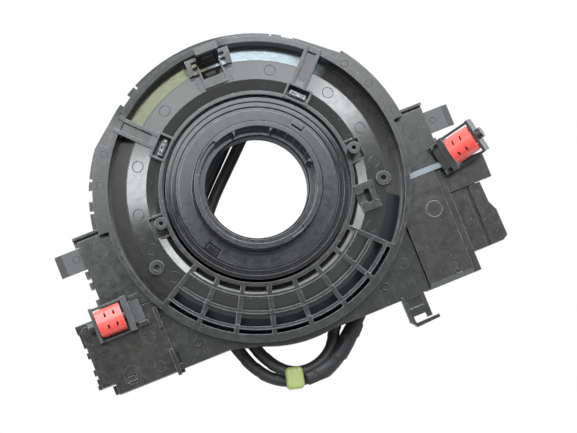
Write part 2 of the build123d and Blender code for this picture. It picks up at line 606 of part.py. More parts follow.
# Right box: a high plate that steps down to the mouth on the right, and the shelf above it
with BuildPart() as right_switch_case:
    with BuildSketch(Plane.XY.offset(BOX_FOOT_Z)):
        with BuildLine():
            Polyline(
                (RIGHT_X + 0.2, RIGHT_LOW_Y),
                (RIGHT_X + 0.2, -34.8),
                (RIGHT_X + 7.4, RIGHT_Y - SEAT_GAP),
                (RIGHT_STEP_X, RIGHT_Y - 0.2),
                (RIGHT_STEP_X, RIGHT_LOW_Y),
                close=True,
            )
        make_face()
    extrude(amount=RIGHT_TOP_Z - BOX_FOOT_Z)
    # Bevel along the upper edge, bevel along the lower edge and the step at the right
    with BuildSketch(Plane.YZ.offset(RIGHT_X - 1)):
        with BuildLine():
            Polyline((RIGHT_Y + 1, APRON_Z), (RIGHT_Y - 0.2, APRON_Z), (RIGHT_Y - 2.4, RIGHT_TOP_Z), (RIGHT_Y - 2.4, 3), (RIGHT_Y + 1, 3), close=True)
        make_face()
        with BuildLine():
            Polyline((RIGHT_LOW_Y - 1, RIGHT_TOP_Z - 3), (RIGHT_LOW_Y, RIGHT_TOP_Z - 3), (RIGHT_LOW_Y + 2, RIGHT_TOP_Z), (RIGHT_LOW_Y + 2, 3), (RIGHT_LOW_Y - 1, 3), close=True)
        make_face()
    extrude(amount=30, mode=Mode.SUBTRACT)
    slab(Plane.XY.offset(RIGHT_STEP_Z), (RIGHT_PLATE_X, RIGHT_STEP_X + 1, RIGHT_LOW_Y - 1, RIGHT_Y - 2.4), 5, mode=Mode.SUBTRACT)
    # Hollow underneath
    with BuildSketch(Plane.XY.offset(BOX_FOOT_Z - 1)):
        with BuildLine():
            Polyline(
                (RIGHT_X + 0.2 + BOX_WALL, RIGHT_LOW_Y + BOX_WALL),
                (RIGHT_X + 0.2 + BOX_WALL, -35.4),
                (58.8, RIGHT_Y - BOX_WALL - 2.4),
                (RIGHT_PLATE_X - BOX_WALL, RIGHT_Y - BOX_WALL - 2.4),
                (RIGHT_PLATE_X - BOX_WALL, RIGHT_LOW_Y + BOX_WALL),
                close=True,
            )
        make_face()
    extrude(amount=RIGHT_TOP_Z - BOX_WALL - BOX_FOOT_Z + 1, mode=Mode.SUBTRACT)
    # Mouth for the switch, stepped on top, with a wider lip at its end
    slab(Plane.XY.offset(BOX_FOOT_Z), (RIGHT_STEP_X - 0.5, RIGHT_BOX_X, RIGHT_BOX_Y[0], RIGHT_BOX_Y[1]), RIGHT_BOX_Z - BOX_FOOT_Z)
    with BuildSketch(Plane.XY.offset(BOX_FOOT_Z)):
        with BuildLine():
            Polyline(
                (80.9, RIGHT_BOX_Y[0]),
                (RIGHT_BOX_X, RIGHT_BOX_Y[0]),
                (RIGHT_BOX_X + 2.3, RIGHT_BOX_Y[0] + 1.4),
                (RIGHT_BOX_X + 2.1, -43.0),
                (RIGHT_BOX_X + 0.3, -38.8),
                (RIGHT_BOX_X, RIGHT_BOX_Y[1]),
                (80.9, RIGHT_BOX_Y[1]),
                close=True,
            )
        make_face()
    extrude(amount=RIGHT_BOX_Z + 1.2 - BOX_FOOT_Z)
    slab(Plane.XY.offset(RIGHT_BOX_Z - 0.9), (79.4, 80.9, RIGHT_BOX_Y[0] - 1, RIGHT_BOX_Y[1] + 1), 3, mode=Mode.SUBTRACT)
    slab(
        Plane.XY.offset(BOX_FOOT_Z + BOX_WALL),
        (RIGHT_BACK_X, RIGHT_BOX_X + 4, RIGHT_BOX_Y[0] + BOX_WALL, RIGHT_BOX_Y[1] - BOX_WALL),
        RIGHT_BOX_Z - BOX_FOOT_Z - BOX_WALL - 2.2,
        mode=Mode.SUBTRACT,
    )
    # Shelf with a short skirt
    slab(Plane.XY.offset(SHELF_Z - BOX_WALL), (RIGHT_STEP_X - 0.5, SHELF_X, SHELF_Y[0], SHELF_Y[1]), BOX_WALL)
    slab(Plane.XY.offset(SHELF_Z - 6), (SHELF_X - BOX_WALL, SHELF_X, SHELF_Y[0], SHELF_Y[1]), 6)
    slab(Plane.XY.offset(SHELF_Z - 6), (RIGHT_STEP_X - 0.5, SHELF_X, SHELF_Y[1] - BOX_WALL, SHELF_Y[1]), 6)
    # Clear of the dish
    post((0, 0), BOX_FOOT_Z - 1, WALL_OUT_R + SEAT_GAP, 24, mode=Mode.SUBTRACT)
    # Round mark, slot with a raised island and the lower ear of the latch
    with BuildSketch(Plane.XY.offset(RIGHT_TOP_Z - 0.4)):
        with Locations((63.6, -33.4)):
            Circle(3.5)
            Circle(3.0, mode=Mode.SUBTRACT)
    extrude(amount=1, mode=Mode.SUBTRACT)
    slab(Plane.XY.offset(RIGHT_TOP_Z - 1.2), (62.1, 64.3, -61.2, -56.2), 2, mode=Mode.SUBTRACT)
    slab(Plane.XY.offset(RIGHT_TOP_Z - 1.3), (62.7, 63.7, -60.6, -56.8), 1.0)
    with BuildSketch(ear_plane.offset(SHELF_Z - 0.5 - RIGHT_PIVOT[2])):
        rect(-EAR_HALF, EAR_HALF, -FOOT_HALF - SEAT_GAP - EAR_T, -FOOT_HALF - SEAT_GAP)
    extrude(amount=RIGHT_PIVOT[2] + EAR_HALF - SHELF_Z + 0.5)
    with BuildSketch(Plane(origin=RIGHT_PIVOT, x_dir=at(1, LATCH_TURN, 0), z_dir=at(1, LATCH_TURN - 90, 0))):
        Circle(PIVOT_R + PIN_GAP)
    extrude(amount=12, mode=Mode.SUBTRACT)
save(right_switch_case.part, "right_switch_case")


# Socket for the car's harness, open downwards in the view, at the lower edge of the apron
SOCKET_X = (31.4, 48.6)
SOCKET_Z = (APRON_FOOT_Z, APRON_Z - APRON_T - SEAT_GAP)
SOCKET_BACK_Y = -55.2
with BuildPart() as vehicle_connector:
    slab(Plane.XY.offset(SOCKET_Z[0]), (SOCKET_X[0], SOCKET_X[1], BOTTOM_Y + 0.1, SOCKET_BACK_Y + BOX_WALL), SOCKET_Z[1] - SOCKET_Z[0])
    slab(
        Plane.XY.offset(SOCKET_Z[0] + 1.4),
        (SOCKET_X[0] + 1.4, SOCKET_X[1] - 1.4, BOTTOM_Y - 1, SOCKET_BACK_Y),
        SOCKET_Z[1] - SOCKET_Z[0] - 2.8,
        mode=Mode.SUBTRACT,
    )
save(vehicle_connector.part, "vehicle_connector")


def pin_group(plane, columns, rows, pitch, length):
    """Square terminal pins in rows, standing on a plane."""
    with BuildPart() as pins:
        with BuildSketch(plane):
            with GridLocations(pitch, pitch, columns, rows):
                Rectangle(PIN_W, PIN_W)
        extrude(amount=length)
    return pins.part


left_pins_at = Plane(origin=(LEFT_BACK_X, -39.5, -11.8), x_dir=(0, 1, 0), z_dir=(-1, 0, 0))
save(pin_group(left_pins_at, 6, 2, 2.5, 7.0), "left_switch_terminals")
right_pins_at = Plane(origin=(RIGHT_BACK_X, -42.8, -14.5), x_dir=(0, 1, 0), z_dir=(1, 0, 0))
save(pin_group(right_pins_at, 6, 2, 2.5, 4.5), "right_switch_terminals")
vehicle_pins_at = Plane(origin=(40.0, SOCKET_BACK_Y, sum(SOCKET_Z) / 2), x_dir=(1, 0, 0), z_dir=(0, -1, 0))
save(pin_group(vehicle_pins_at, 5, 2, 2.5, 3.2), "vehicle_terminals")


# Latch frames: a foot with pivot pins, two rails and the cross bar that carries the red clip
def make_latch_frame(base):
    """The frame on its own plane: x outwards, z up, the pivot at the origin."""
    across = Plane(origin=base.origin, x_dir=base.y_dir, z_dir=base.x_dir)
    along = Plane(origin=base.origin, x_dir=base.x_dir, z_dir=-base.y_dir)
    with BuildPart() as frame:
        slab(base.offset(-1.3), (-1.2, RAIL_IN[0] + 0.2, -FOOT_HALF, FOOT_HALF), 2.6)
        for rail in (RAIL_IN, RAIL_OUT):
            slab(base.offset(RAIL_Z[0]), (rail[0], rail[1], -RAIL_HALF, RAIL_HALF), RAIL_Z[1] - RAIL_Z[0])
        for side in (-1, 1):
            link = sorted((side * RAIL_HALF, side * (RAIL_HALF - 1.0)))
            slab(base.offset(RAIL_Z[0]), (RAIL_IN[1] - 0.2, RAIL_OUT[0] + 0.2, link[0], link[1]), 2.2)
        with BuildSketch(across.offset(RAIL_IN[1] - 0.2)):
            with Locations((0, BAR_Z)):
                Circle(BAR_R)
        extrude(amount=BAR_END - RAIL_IN[1] + 0.2)
        with BuildSketch(across.offset(RAIL_OUT[1])):
            with Locations((0, BAR_Z)):
                Circle(BAR_R + 0.6)
        extrude(amount=BAR_END - RAIL_OUT[1] + 0.4)
        with BuildSketch(along.offset(-FOOT_HALF - EAR_T - SEAT_GAP)):
            Circle(PIVOT_R)
        extrude(amount=2 * (FOOT_HALF + EAR_T + SEAT_GAP))
    return frame.part


# Lock clips: a hooped sleeve that turns on the cross bar
def make_lock_clip(base):
    """The clip on the frame's plane, round the cross bar."""
    start = RAIL_IN[1] + 0.9
    width = RAIL_OUT[0] - CLIP_SIDE_GAP - start
    across = Plane(origin=base.from_local_coords((start, 0, BAR_Z)), x_dir=base.y_dir, z_dir=base.x_dir)
    with BuildPart() as clip:
        with BuildSketch(across):
            Circle(CLIP_R)
            Circle(CLIP_R - 1.5, mode=Mode.SUBTRACT)
            rect(-CLIP_R, CLIP_R, -CLIP_R, -2.6, mode=Mode.SUBTRACT)
            rect(-1.0, 1.0, 0, CLIP_R - 0.5)
            rect(-CLIP_R + 0.6, CLIP_R - 0.6, -0.7, 0.7)
            Circle(BAR_R + 1.3)
            Circle(BAR_R + PIN_GAP, mode=Mode.SUBTRACT)
        extrude(amount=width)
        # Waisted ends, two windows and two grooves in the hoop
        for low in (-CLIP_R - 0.5, CLIP_R - 2.6):
            slab(across.offset(width - 0.9), (low, low + 3.1, -1.9, 1.9), 1, mode=Mode.SUBTRACT)
        for offset_x in (2.6, 6.2):
            slab(base.offset(BAR_Z + 3.0), (start + offset_x, start + offset_x + 0.8, -3.4, -1.6), 4, mode=Mode.SUBTRACT)
            slab(base.offset(BAR_Z + 3.0), (start + offset_x, start + offset_x + 0.8, 1.6, 3.4), 4, mode=Mode.SUBTRACT)
    return clip.part


left_base = Plane(origin=LEFT_PIVOT, x_dir=(-1, 0, 0), z_dir=(0, 0, 1))
out_dir = Vector(*at(1, LATCH_TURN, 0))
lean = math.radians(LATCH_LEAN)
right_x = out_dir * math.cos(lean) + Vector(0, 0, 1) * math.sin(lean)
right_z = Vector(0, 0, 1) * math.cos(lean) - out_dir * math.sin(lean)
right_base = Plane(origin=RIGHT_PIVOT, x_dir=right_x, z_dir=right_z)
save(make_latch_frame(left_base), "left_latch_frame")
save(make_latch_frame(right_base), "right_latch_frame")
save(make_lock_clip(left_base), "left_lock_clip")
save(make_lock_clip(right_base), "right_lock_clip")


# Rotor: hub tube, wheel side disc, towers and drive pins
with BuildPart() as rotor_housing:
    with BuildSketch(Plane.XZ):
        with BuildLine():
            Polyline(
                (WEB_IN_R, 0),
                (HUB_IN_R, 0),
                (HUB_IN_R, HUB_TOP_Z - 0.2),
                (HUB_IN_R + 1.4, HUB_TOP_Z - 0.2),
                (HUB_IN_R + 1.4, HUB_GROOVE_Z),
                (HUB_IN_R + 2.1, HUB_GROOVE_Z),
                (HUB_IN_R + 2.1, HUB_TOP_Z),
                (HUB_OUT_R, HUB_TOP_Z),
                (HUB_OUT_R, DISC_TOP_Z),
                (DISC_R, DISC_TOP_Z),
                (DISC_R, DISC_Z),
                (HUB_OUT_R - HUB_SKIN, DISC_Z),
                (HUB_OUT_R - HUB_SKIN, -WEB_T),
                (WEB_IN_R, -WEB_T),
                close=True,
            )
        make_face()
    revolve(axis=Axis.Z)
    # Hooks that hold the cam, standing in the windows of its face
    for angle in (35.6, 212.6):
        slab(spoke(angle, -1.0), (29.4, 31.4, -2.4, 2.4), 3.4)
    # Flat for the inner lead block
    slab(spoke(90, DISC_TOP_Z), (HUB_OUT_R - 1.3, HUB_OUT_R + 2, -4.6, 4.6), 13.0, mode=Mode.SUBTRACT)
    # Upper tower, hollow and open towards the leads
    tower_plane = Plane(origin=(TOWER_AT[0], TOWER_AT[1], TABLE_Z), x_dir=at(1, TOWER_ANGLE, 0), z_dir=(0, 0, 1))
    slab(tower_plane, (-TOWER_LONG / 2, TOWER_LONG / 2, -TOWER_WIDE / 2, TOWER_WIDE / 2), DISC_Z - TABLE_Z + 0.5)
    cavity = (-TOWER_LONG / 2 - 1, TOWER_LONG / 2 - TOWER_WALL, -TOWER_WIDE / 2 + TOWER_WALL, TOWER_WIDE / 2 - TOWER_WALL)
    slab(tower_plane.offset(TOWER_WALL), cavity, DISC_Z - TABLE_Z - TOWER_WALL, mode=Mode.SUBTRACT)
    # Lower tower, the shroud of the steering wheel socket
    half_x, half_y = SOCKET_SIZE[0] / 2, SOCKET_SIZE[1] / 2
    slab(Plane.XY.offset(TABLE_Z), (-half_x, half_x, SOCKET_Y - half_y, SOCKET_Y + half_y), DISC_Z - TABLE_Z + 0.5)
    socket_limits = (-half_x + SOCKET_WALL, half_x - SOCKET_WALL, SOCKET_Y - half_y + SOCKET_WALL, SOCKET_Y + half_y - SOCKET_WALL)
    slab(Plane.XY.offset(TABLE_Z - 1), socket_limits, DISC_Z - TABLE_Z - 1.5 + 1, mode=Mode.SUBTRACT)
    # Drive pins
    for side in (-1, 1):
        post((side * DRIVE_X, 0), TABLE_Z, DRIVE_R, DISC_Z - TABLE_Z + 0.5)
    pin_ends = rotor_housing.edges().filter_by(GeomType.CIRCLE).group_by(Axis.Z)[0]
    chamfer(pin_ends, length=0.6)
save(rotor_housing.part, "rotor_housing")

with BuildPart() as rotor_lead_block:
    slab(spoke(90, DISC_TOP_Z + 1.0), (HUB_OUT_R - 1.3, HUB_OUT_R + 1.4, -4.3, 4.3), 11.6)
save(rotor_lead_block.part, "rotor_lead_block")


# Cancel cam: toothed collar, face ring and the sleeve that fits round the shaft
with BuildPart() as cancel_cam:
    with BuildSketch(Plane.XZ):
        with BuildLine():
            Polyline(
                (BORE_R, CAM_TAIL_Z),
                (COLLAR_OUT_R, CAM_TAIL_Z),
                (COLLAR_OUT_R, 0),
                (CAM_FACE_R, 0),
                (CAM_FACE_R, CAM_FACE_T - 0.6),
                (CAM_FACE_R - 1.0, CAM_FACE_T - 0.6),
                (CAM_FACE_R - 1.0, CAM_FACE_T),
                (COLLAR_OUT_R + 0.4, CAM_FACE_T),
                (COLLAR_OUT_R, CAM_FACE_T + 0.4),
                (COLLAR_OUT_R, COLLAR_TOP_Z - 0.8),
                (COLLAR_OUT_R - 0.5, COLLAR_TOP_Z),
                (COLLAR_IN_R, COLLAR_TOP_Z),
                (COLLAR_IN_R, CAM_LIP_Z),
                (BORE_R + 0.6, CAM_LIP_Z),
                (BORE_R, CAM_LIP_Z - 0.6),
                close=True,
            )
        make_face()
    revolve(axis=Axis.Z)
    for angle in (35.6, 212.6):
        sector_slab(28.6, CAM_FACE_R + 1, angle - 6.0, angle + 6.0, -0.5, CAM_FACE_T + 1, mode=Mode.SUBTRACT)
    # Slots in the collar's top edge, large and small teeth on its inner wall
    sector_slab(COLLAR_IN_R - 0.5, COLLAR_OUT_R - 1.0, 114, 149, COLLAR_TOP_Z - 3.0, 4, mode=Mode.SUBTRACT)
    sector_slab(COLLAR_IN_R - 0.5, COLLAR_OUT_R - 1.0, 282, 296, COLLAR_TOP_Z - 3.0, 4, mode=Mode.SUBTRACT)
    with BuildSketch(Plane.XY.offset(CAM_LIP_Z)):
        for angle in (3.0, 55.0, 93.0):
            with BuildLine() as tooth:
                Polyline(
                    at(COLLAR_IN_R + 0.4, angle - 2.4),
                    at(COLLAR_IN_R - 1.9, angle + 1.2),
                    at(COLLAR_IN_R + 0.4, angle + 2.0),
                    close=True,
                )
            make_face(tooth.edges())
    extrude(amount=COLLAR_TOP_Z - CAM_LIP_Z - 0.6)
    with BuildSketch(Plane.XY.offset(CAM_LIP_Z)):
        for step in range(5):
            with BuildLine() as tooth:
                Polyline(
                    at(COLLAR_IN_R + 0.3, 12.0 + 9 * step - 1.2),
                    at(COLLAR_IN_R - 0.7, 12.0 + 9 * step),
                    at(COLLAR_IN_R + 0.3, 12.0 + 9 * step + 1.2),
                    close=True,
                )
            make_face(tooth.edges())
    extrude(amount=COLLAR_TOP_Z - CAM_LIP_Z - 2.4)
save(cancel_cam.part, "cancel_cam")


# Liner and pins of the steering wheel socket
liner_gap = 0.1
liner_x = half_x - SOCKET_WALL - liner_gap
liner_y = half_y - SOCKET_WALL - liner_gap
with BuildPart() as wheel_socket:
    slab(Plane.XY.offset(TABLE_Z + 0.6), (-liner_x, liner_x, SOCKET_Y - liner_y, SOCKET_Y + liner_y), DISC_Z - 1.5 - TABLE_Z - 0.6)
    liner_mouth = (-liner_x + LINER_WALL, liner_x - LINER_WALL, SOCKET_Y - liner_y + LINER_WALL, SOCKET_Y + liner_y - LINER_WALL)
    slab(Plane.XY.offset(TABLE_Z), liner_mouth, DISC_Z - 1.5 - TABLE_Z - LINER_WALL, mode=Mode.SUBTRACT)
save(wheel_socket.part, "wheel_socket")
wheel_pins_at = Plane(origin=(0, SOCKET_Y, DISC_Z - 1.5 - LINER_WALL), x_dir=(1, 0, 0), z_dir=(0, 0, -1))
save(pin_group(wheel_pins_at, 7, 2, 2.5, 5.0), "wheel_terminals")


# Clamp in the mouth of the upper tower, from which the two leads come out
clamp_half = TOWER_WIDE / 2 - TOWER_WALL - 0.1
clamp_h = DISC_Z - TABLE_Z - TOWER_WALL - 0.2
with BuildPart() as lead_clamp:
    slab(tower_plane.offset(TOWER_WALL + 0.1), (-TOWER_LONG / 2 - 0.6, -TOWER_LONG / 2 + CLAMP_T, -clamp_half, clamp_half), clamp_h)
    clamp_edges = lead_clamp.edges().filter_by(Axis.Z).group_by(SortBy.DISTANCE)[0]
    fillet(clamp_edges, radius=0.5)
save(lead_clamp.part, "lead_clamp")


# The two leads: straight runs joined by arcs as large as the runs allow
EXIT_Z = TABLE_Z + 6.0
EXIT_X = -TOWER_LONG / 2 - 0.6
EXIT_SIDE = 2.6
EXIT_RUN = 5.4
exit_plane = tower_plane.offset(EXIT_Z - TABLE_Z)
AIRBAG_ROUTE = [
    exit_plane.from_local_coords((EXIT_X, EXIT_SIDE, 0)),
    exit_plane.from_local_coords((EXIT_X - EXIT_RUN, EXIT_SIDE, 0)),
    (-5.6, 22.6, LEAD_Z),
    (-21.8, 6.9, LEAD_Z),
    (-31.5, -5.5, LEAD_Z),
    (-36.8, -20.0, LEAD_Z),
    (-36.5, -36.0, LEAD_Z),
    (-31.6, -49.0, LEAD_Z),
    (-29.0, -60.0, LEAD_Z),
    (-24.2, -70.0, LEAD_Z),
    (-15.2, -77.2, LEAD_Z),
    (-3.0, -78.8, LEAD_Z),
    (8.6, -74.8, LEAD_Z),
    (17.8, -67.2, LEAD_Z),
    (25.4, -59.4, LEAD_Z),
    (34.0, -53.8, LEAD_Z),
]
SWITCH_ROUTE = [
    exit_plane.from_local_coords((EXIT_X, -EXIT_SIDE, 0)),
    exit_plane.from_local_coords((EXIT_X - EXIT_RUN, -EXIT_SIDE, 0)),
    (-2.2, 18.9, LEAD_Z),
    (-17.8, 4.4, LEAD_Z),
    (-26.2, -7.5, LEAD_Z),
    (-31.0, -21.0, LEAD_Z),
    (-30.6, -35.6, LEAD_Z),
    (-25.6, -48.6, LEAD_Z),
    (-22.6, -59.6, LEAD_Z),
    (-18.6, -68.2, LEAD_Z + 1.4),
    (-11.4, -74.2, LEAD_Z + 3.4),
    (-2.2, -74.8, LEAD_Z + 3.2),
    (6.2, -70.6, LEAD_Z + 2.0),
    (11.2, -62.6, LEAD_Z),
    (16.4, -55.0, LEAD_Z),
    (22.6, -49.8, LEAD_Z),
]


def corner_radii(route):
    """0.45 of the shorter run beside each corner, divided by the tangent of half the turn."""
    radii = []
    points = [Vector(*point) for point in route]
    for before, corner, after in zip(points, points[1:], points[2:]):
        run_in, run_out = corner - before, after - corner
        turn = math.radians(run_in.get_angle(run_out))
        radii.append(0.45 * min(run_in.length, run_out.length) / math.tan(turn / 2))
    return radii


def make_lead(route, name):
    """A round lead along its route."""
    radii = corner_radii(route)
    with BuildPart() as lead:
        with BuildLine() as path:
            FilletPolyline(*route, radius=radii)
        with BuildSketch(Plane(origin=path.line @ 0, z_dir=path.line % 0)):
            Circle(LEAD_R)
        sweep()
    length = sum(edge.length for edge in path.edges())
    share = lead.part.volume / (math.pi * LEAD_R**2 * length)
    print(name, "length", round(length, 1), "radii", [round(radius, 1) for radius in radii], "volume share", round(share, 4))
    return lead.part


airbag_lead = make_lead(AIRBAG_ROUTE, "airbag_lead")
switch_lead = make_lead(SWITCH_ROUTE, "switch_lead")
save(airbag_lead, "airbag_lead")
save(switch_lead, "switch_lead")


# Plugs on the ends of the leads, and the band that ties the leads together
def make_plug(route):
    """A plug whose back face stands across the end of a route, lying on the table."""
    ahead = Vector(*route[-1]) - Vector(*route[-2])
    length, wide, high = PLUG_SIZE
    base = Plane(origin=(route[-1][0], route[-1][1], TABLE_Z), x_dir=(ahead.X, ahead.Y, 0), z_dir=(0, 0, 1))
    with BuildPart() as plug:
        slab(base, (0, length, -wide / 2, wide / 2), high)
        fillet(plug.edges().filter_by(Axis.Z), radius=0.8)
        slab(base.offset(high), (2.0, 9.0, -1.6, 1.6), 1.0)
        for side in (-1, 1):
            hole = sorted((side * 1.0, side * 2.6))
            slab(base.offset(3.4), (length - 3.0, length + 1, hole[0], hole[1]), 1.6, mode=Mode.SUBTRACT)
    return plug.part


save(make_plug(AIRBAG_ROUTE), "airbag_plug")
save(make_plug(SWITCH_ROUTE), "switch_plug")

with BuildPart() as harness_tie:
    tie_plane = Plane(origin=(TIE_AT[0], TIE_AT[1], TABLE_Z), x_dir=at(1, -14, 0), z_dir=(0, 0, 1))
    with BuildSketch(tie_plane):
        RectangleRounded(7.4, 9.4, 2.0)
    extrude(amount=9.0)
    fillet(harness_tie.faces().sort_by(Axis.Z)[-1].edges(), radius=1.6)
    add(airbag_lead, mode=Mode.SUBTRACT)
    add(switch_lead, mode=Mode.SUBTRACT)
save(harness_tie.part, "harness_tie")
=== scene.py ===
import json
import math

import bmesh
import bpy
from mathutils import Matrix, Vector


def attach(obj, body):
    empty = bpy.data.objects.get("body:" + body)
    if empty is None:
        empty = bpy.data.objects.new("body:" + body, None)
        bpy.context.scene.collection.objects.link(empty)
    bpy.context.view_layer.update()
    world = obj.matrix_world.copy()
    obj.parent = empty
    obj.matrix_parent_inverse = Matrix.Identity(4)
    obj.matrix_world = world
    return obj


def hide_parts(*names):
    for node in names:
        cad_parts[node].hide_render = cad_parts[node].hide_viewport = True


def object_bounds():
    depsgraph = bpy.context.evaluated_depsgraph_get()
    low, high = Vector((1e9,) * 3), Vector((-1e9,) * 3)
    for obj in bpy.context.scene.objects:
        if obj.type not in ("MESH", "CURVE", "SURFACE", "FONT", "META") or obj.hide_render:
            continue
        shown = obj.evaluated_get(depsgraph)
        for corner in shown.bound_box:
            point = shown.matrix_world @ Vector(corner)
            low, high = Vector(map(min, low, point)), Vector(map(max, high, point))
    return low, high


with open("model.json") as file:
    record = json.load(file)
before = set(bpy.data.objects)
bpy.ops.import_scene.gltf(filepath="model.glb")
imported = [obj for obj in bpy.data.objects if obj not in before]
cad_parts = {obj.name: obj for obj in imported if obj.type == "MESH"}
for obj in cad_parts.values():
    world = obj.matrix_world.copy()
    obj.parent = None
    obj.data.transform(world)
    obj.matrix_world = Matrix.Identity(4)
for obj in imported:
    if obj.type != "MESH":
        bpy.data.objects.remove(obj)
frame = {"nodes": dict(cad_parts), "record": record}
cad_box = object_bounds()
MM = 0.001

# Camera at the photograph's angle: nearly straight down on the column side, turned 22 degrees
EYE = Vector((-56, -70, 700)) * MM
TARGET = Vector((7.5, -15.1, 0)) * MM
ROLL = math.radians(22.0)
IMAGE_UP = Vector((math.sin(ROLL), math.cos(ROLL), 0))
PX_PER_MM = 2.5
HALF_WIDTH_PX = 288.5

back = (EYE - TARGET).normalized()
right = IMAGE_UP.cross(back).normalized()
above = back.cross(right)
turn = Matrix((right, above, back)).transposed().to_4x4()
camera_data = bpy.data.cameras.new("camera")
camera_data.sensor_fit = "HORIZONTAL"
camera_data.sensor_width = 36.0
camera_data.lens = 18.0 * (EYE - TARGET).length / MM * PX_PER_MM / HALF_WIDTH_PX
camera = bpy.data.objects.new("camera", camera_data)
camera.matrix_world = Matrix.Translation(EYE) @ turn
bpy.context.scene.collection.objects.link(camera)
bpy.context.scene.camera = camera

UP = Vector((0, 0, 1))
TABLE_Z = -37.0
EDGE_ROUND = 0.3 * MM
DUST_COLOR = (0.42, 0.42, 0.38)


def add_node(tree, kind, **values):
    """A shader node with its settings and its unlinked inputs."""
    node = tree.nodes.new(kind)
    for key, value in values.items():
        if hasattr(node, key) and key not in node.inputs:
            setattr(node, key, value)
        else:
            node.inputs[key].default_value = value
    return node


def put(tree, value, socket):
    """Sets a socket to a number or links a value to it."""
    if isinstance(value, (int, float)):
        socket.default_value = value
    else:
        tree.links.new(value, socket)


def math_node(tree, operation, first, second=0.0):
    """A sum, product or other calculation of one or two grey values."""
    node = add_node(tree, "ShaderNodeMath", operation=operation)
    put(tree, first, node.inputs[0])
    put(tree, second, node.inputs[1])
    return node.outputs["Value"]


def times(tree, first, second):
    """The product of two grey values."""
    return math_node(tree, "MULTIPLY", first, second)


def plus(tree, first, second):
    """The sum of two grey values."""
    return math_node(tree, "ADD", first, second)


def minus(tree, first, second):
    """The difference of two grey values."""
    return math_node(tree, "SUBTRACT", first, second)


def remap(tree, value, low_in, high_in, low_out, high_out, soft=False):
    """A grey value stretched from one range to another, with soft ends if asked."""
    node = add_node(tree, "ShaderNodeMapRange", interpolation_type="SMOOTHSTEP" if soft else "LINEAR")
    limits = (("From Min", low_in), ("From Max", high_in), ("To Min", low_out), ("To Max", high_out))
    for key, number in limits:
        node.inputs[key].default_value = number
    tree.links.new(value, node.inputs["Value"])
    return node.outputs["Result"]


def noise(tree, coords, scale, detail=2.0, rough=0.5, stretch=(1, 1, 1)):
    """The grey output of a noise in object coordinates. Scale is in cells per millimetre."""
    mapping = add_node(tree, "ShaderNodeMapping", Scale=stretch)
    texture = add_node(tree, "ShaderNodeTexNoise", Scale=scale / MM, Detail=detail, Roughness=rough)
    tree.links.new(coords.outputs["Object"], mapping.inputs["Vector"])
    tree.links.new(mapping.outputs["Vector"], texture.inputs["Vector"])
    return texture.outputs["Fac"]


def mix_colors(tree, factor, first, second):
    """Two colours, or colour outputs, mixed by a grey value."""
    node = add_node(tree, "ShaderNodeMix", data_type="RGBA")
    tree.links.new(factor, node.inputs["Factor"])
    for key, color in (("A", first), ("B", second)):
        socket = [entry for entry in node.inputs if entry.name == key and entry.type == "RGBA"][0]
        if isinstance(color, tuple):
            socket.default_value = (*color, 1)
        else:
            tree.links.new(color, socket)
    return [out for out in node.outputs if out.type == "RGBA"][0]


def axis_values(tree, coords):
    """The x, y and z of object coordinates in millimetres, and the distance from the bore axis."""
    parts = add_node(tree, "ShaderNodeSeparateXYZ")
    tree.links.new(coords.outputs["Object"], parts.inputs["Vector"])
    x, y, z = (math_node(tree, "DIVIDE", parts.outputs[axis], MM) for axis in "XYZ")
    squares = plus(tree, times(tree, x, x), times(tree, y, y))
    return x, y, z, math_node(tree, "SQRT", squares)


def moulded(
    name, color, rough, grain=0.10, spread=0.25, dust=0.0, edge_wear_and_highlight=0.5, edge_wear_and_highlight_color=(0.20, 0.205, 0.21), zones=None
):
    """Moulded plastic: a cloudy colour, uneven gloss, fine grain, streaks, and rounded edges rubbed pale,
    their paleness partly wear and partly a painted edge highlight.

    A zones function may change the base colour, the gloss and the shading normal by the place on the part.
    """
    mat = bpy.data.materials.new(name)
    mat.use_nodes = True
    tree = mat.node_tree
    shader = tree.nodes["Principled BSDF"]
    coords = add_node(tree, "ShaderNodeTexCoord")
    cloud = noise(tree, coords, 0.06, 4.0, 0.6)
    dark = tuple(channel * (1 - spread) for channel in color)
    light = tuple(channel * (1 + spread) for channel in color)
    base = mix_colors(tree, remap(tree, cloud, 0.35, 0.65, 0, 1), dark, light)
    gloss = remap(tree, noise(tree, coords, 0.35, 4.0, 0.65), 0.3, 0.7, rough - 0.05, rough + 0.07)
    if dust:
        specks = remap(tree, noise(tree, coords, 1.3, 2.0, 0.6), 0.68, 0.78, 0, dust)
        base = mix_colors(tree, specks, base, DUST_COLOR)
    streaks = noise(tree, coords, 0.5, 3.0, 0.7, stretch=(1.0, 0.08, 1.0))
    gloss = plus(tree, gloss, remap(tree, streaks, 0.62, 0.75, 0, 0.10))
    bevel = add_node(tree, "ShaderNodeBevel", samples=6, Radius=EDGE_ROUND)
    normal = bevel.outputs["Normal"]
    if zones:
        base, gloss, normal = zones(tree, coords, base, gloss, normal)
    # Pale rounded edges: partly wear, partly a painted highlight where light would catch the edges
    geometry = add_node(tree, "ShaderNodeNewGeometry")
    lean = add_node(tree, "ShaderNodeVectorMath", operation="DOT_PRODUCT")
    tree.links.new(bevel.outputs["Normal"], lean.inputs[0])
    tree.links.new(geometry.outputs["True Normal"], lean.inputs[1])
    rubbed_and_highlit = remap(tree, lean.outputs["Value"], 0.995, 0.90, 0, edge_wear_and_highlight, soft=True)
    patches = remap(tree, noise(tree, coords, 0.45, 5.0, 0.75), 0.38, 0.60, 0.15, 1.0)
    rubbed_and_highlit = times(tree, rubbed_and_highlit, patches)
    base = mix_colors(tree, rubbed_and_highlit, base, edge_wear_and_highlight_color)
    tree.links.new(base, shader.inputs["Base Color"])
    tree.links.new(gloss, shader.inputs["Roughness"])
    bump = add_node(tree, "ShaderNodeBump", Strength=grain, Distance=0.0001)
    tree.links.new(noise(tree, coords, 3.5, 2.0), bump.inputs["Height"])
    tree.links.new(normal, bump.inputs["Normal"])
    tree.links.new(bump.outputs["Normal"], shader.inputs["Normal"])
    return mat


